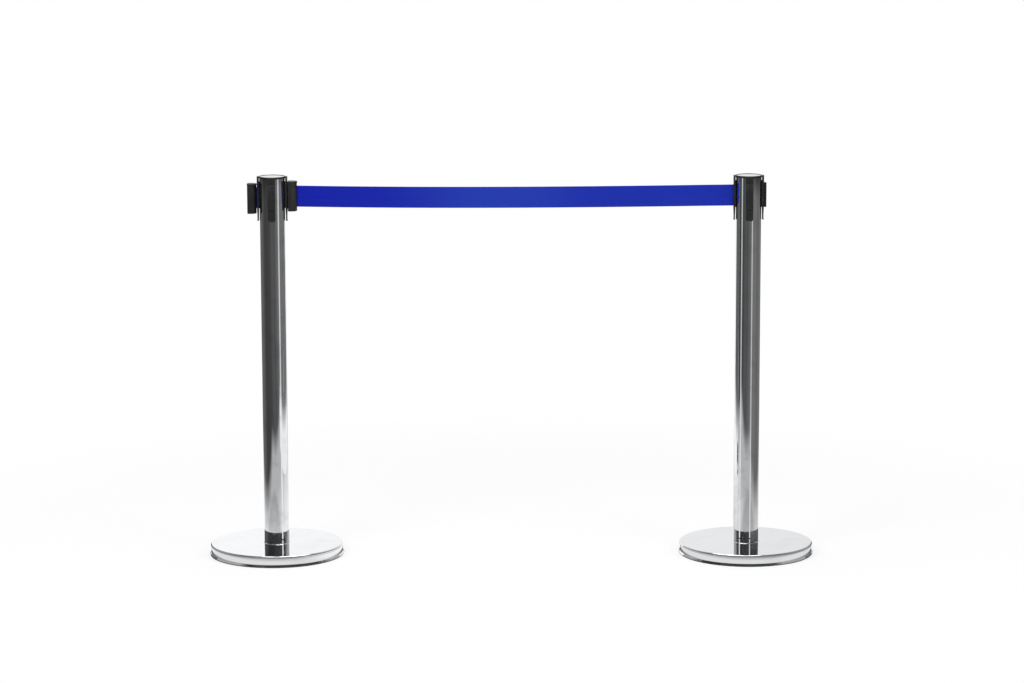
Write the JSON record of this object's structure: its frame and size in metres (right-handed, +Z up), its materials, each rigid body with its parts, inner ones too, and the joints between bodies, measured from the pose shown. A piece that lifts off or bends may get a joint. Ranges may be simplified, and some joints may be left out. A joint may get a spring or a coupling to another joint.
{
  "type": "retractable belt queue post pair",
  "caption": "Free-standing polished steel queue posts joined by a blue retractable belt, with weighted round bases, rail receivers on the heads and spring-wound belt reels inside.",
  "frame": {"origin": "on the floor, midway between the axes of the two posts", "axes": "+X along the belt from the left post to the right one, +Y away from the viewer, +Z up"},
  "size_m": [1.444, 0.32, 0.91],
  "materials": {
    "mirror_stainless": "mirror polished",
    "black_abs": "moulded, fine grain",
    "belt_webbing": "woven polyester",
    "floor_rubber": "moulded rubber",
    "weight_iron": "as cast, painted black",
    "plain_steel": "zinc plated",
    "spring_steel": "blued strip",
    "inner_nylon": "moulded",
    "bush_brass": "turned",
    "brake_felt": "pressed felt"
  },
  "bodies": {
    "right_post": {"right_floor_ring": "floor_rubber", "right_base_cover": "mirror_stainless", "right_base_weight": "weight_iron", "right_base_bolt": "plain_steel", "right_base_washers": "plain_steel", "right_tube_plug": "plain_steel", "right_tube": "mirror_stainless", "right_cassette_body": "inner_nylon", "right_cassette_lid": "black_abs", "right_spindle": "plain_steel", "right_spring_arbor": "plain_steel", "right_brake_washer": "brake_felt", "right_guide_pins": "plain_steel", "right_exit_strip": "black_abs", "right_receiver_side": "black_abs", "right_receiver_front": "black_abs", "right_receiver_back": "black_abs", "right_head_cap": "black_abs", "right_cap_disc": "mirror_stainless", "right_head_screws": "plain_steel"},
    "right_reel": {"right_reel": "inner_nylon", "right_barrel_cover": "inner_nylon", "right_reel_bushes": "bush_brass", "right_belt_roll": "belt_webbing", "right_power_spring": "spring_steel"},
    "left_post": {"left_floor_ring": "floor_rubber", "left_base_cover": "mirror_stainless", "left_base_weight": "weight_iron", "left_base_bolt": "plain_steel", "left_base_washers": "plain_steel", "left_tube_plug": "plain_steel", "left_tube": "mirror_stainless", "left_cassette_body": "inner_nylon", "left_cassette_lid": "black_abs", "left_spindle": "plain_steel", "left_spring_arbor": "plain_steel", "left_brake_washer": "brake_felt", "left_guide_pins": "plain_steel", "left_exit_strip": "black_abs", "left_receiver_side": "black_abs", "left_receiver_front": "black_abs", "left_receiver_back": "black_abs", "left_head_cap": "black_abs", "left_cap_disc": "mirror_stainless", "left_head_screws": "plain_steel"},
    "left_reel": {"left_reel": "inner_nylon", "left_barrel_cover": "inner_nylon", "left_reel_bushes": "bush_brass", "left_belt_roll": "belt_webbing", "left_power_spring": "spring_steel"},
    "right_belt_end": {"right_belt": "belt_webbing", "right_grip": "black_abs", "right_grip_pin": "plain_steel", "right_grip_plug": "black_abs"},
    "left_belt_end": {"left_belt": "belt_webbing", "left_grip": "black_abs", "left_grip_pin": "plain_steel", "left_grip_plug": "black_abs"}
  },
  "joints": [
    {"name": "belt_draw", "type": "slide", "parent": "right_post", "child": "left_post", "axis": [-1, 0, 0], "range_m": [-0.8, 0.95], "deforming": ["right_belt"]},
    {"name": "right_reel_spin", "type": "hinge", "parent": "right_post", "child": "right_reel", "pos_m": [0.562, 0, 0.8625], "axis": [0, 0, 1], "range_deg": [-2980, 2510], "deforming": ["right_power_spring"]},
    {"name": "belt_end_lift", "type": "slide", "parent": "left_post", "child": "right_belt_end", "axis": [0, 0, 1], "range_m": [0, 0.07]},
    {"name": "left_belt_draw", "type": "slide", "parent": "left_post", "child": "left_belt_end", "axis": [-1, 0, 0], "range_m": [0, 2], "stiffness_N_per_m": 2, "springref_m": -2.5, "deforming": ["left_belt"]},
    {"name": "left_reel_spin", "type": "hinge", "parent": "left_post", "child": "left_reel", "pos_m": [-0.562, 0, 0.8625], "axis": [0, 0, 1], "range_deg": [-4806, 5], "deforming": ["left_power_spring"]}
  ],
  "couplings": [
    {"joint": "right_reel_spin", "follows": "belt_draw", "rad_per_m": -54.645},
    {"joint": "left_reel_spin", "follows": "left_belt_draw", "rad_per_m": -41.894}
  ]
}
